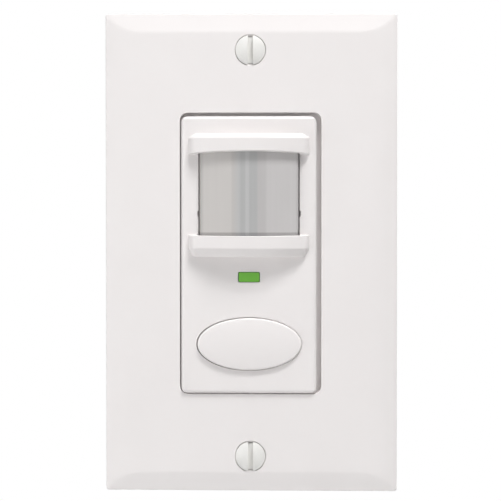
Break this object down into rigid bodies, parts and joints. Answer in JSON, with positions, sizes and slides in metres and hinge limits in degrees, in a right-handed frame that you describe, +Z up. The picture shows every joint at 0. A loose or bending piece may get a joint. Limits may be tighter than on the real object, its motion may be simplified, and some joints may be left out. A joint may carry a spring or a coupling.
{
  "type": "motion sensor light switch",
  "caption": "White wall-plate light switch that senses motion through a hooded convex lens, with a green indicator, an oval push button and a closed housing behind its strap.",
  "frame": {"origin": "in the wall's plane, halfway between the two wall box screws", "axes": "+Y into the wall, so the front faces -Y; +X to the right seen from the front; +Z up"},
  "size_m": [0.0698, 0.0476, 0.1142],
  "materials": {
    "white_plastic": "satin, finely textured",
    "painted_screws": "white paint",
    "lens_plastic": "translucent",
    "indicator_green": "clear green",
    "zinc_steel": "zinc plated",
    "black_plastic": "moulded",
    "plunger_plastic": "moulded",
    "circuit_board": "lacquered",
    "sensor_metal": "plated",
    "filter_glass": "dark coated",
    "photocell_face": "clear lacquer",
    "lamp_resin": "clear",
    "trimmer_blue": "moulded",
    "rotor_white": "moulded",
    "spacer_nylon": "moulded",
    "capacitor_sleeve": "shrunk sleeve",
    "film_yellow": "moulded",
    "varistor_blue": "dipped",
    "fuse_body": "lacquered"
  },
  "bodies": {
    "base": {"wall_plate": "white_plastic", "plate_screws": "painted_screws", "mounting_strap": "zinc_steel", "housing_screws": "zinc_steel", "front_bezel": "white_plastic", "sensor_lens": "lens_plastic", "lens_retainer": "black_plastic", "indicator_light_pipe": "indicator_green", "sensor_board": "circuit_board", "sensor_can": "sensor_metal", "sensor_filter": "filter_glass", "sensor_base": "sensor_metal", "photocell": "photocell_face", "indicator_lamp": "lamp_resin", "push_switch_body": "black_plastic", "delay_trimmer_body": "trimmer_blue", "light_trimmer_body": "trimmer_blue", "board_spacers": "spacer_nylon", "board_screws": "zinc_steel", "power_board": "circuit_board", "relay": "black_plastic", "reservoir_capacitor": "capacitor_sleeve", "film_capacitor": "film_yellow", "varistor": "varistor_blue", "fuse": "fuse_body", "board_header": "black_plastic", "rear_housing": "black_plastic"},
    "button": {"push_button": "white_plastic"},
    "plunger": {"push_switch_plunger": "plunger_plastic"},
    "delay_rotor": {"delay_trimmer_rotor": "rotor_white"},
    "light_rotor": {"light_trimmer_rotor": "rotor_white"}
  },
  "joints": [
    {"name": "button_press", "type": "slide", "parent": "base", "child": "button", "axis": [0, 1, 0], "range_m": [0, 0.0006], "stiffness_N_per_m": 3000},
    {"name": "plunger_press", "type": "slide", "parent": "base", "child": "plunger", "axis": [0, 1, 0], "range_m": [0, 0.0006]},
    {"name": "delay_adjust", "type": "hinge", "parent": "base", "child": "delay_rotor", "pos_m": [-0.0088, 0.0118, -0.0215], "axis": [0, 1, 0], "range_deg": [-135, 135]},
    {"name": "light_adjust", "type": "hinge", "parent": "base", "child": "light_rotor", "pos_m": [0.0082, 0.0118, -0.0215], "axis": [0, 1, 0], "range_deg": [-135, 135]}
  ],
  "couplings": [
    {"joint": "plunger_press", "follows": "button_press", "ratio": 1}
  ]
}
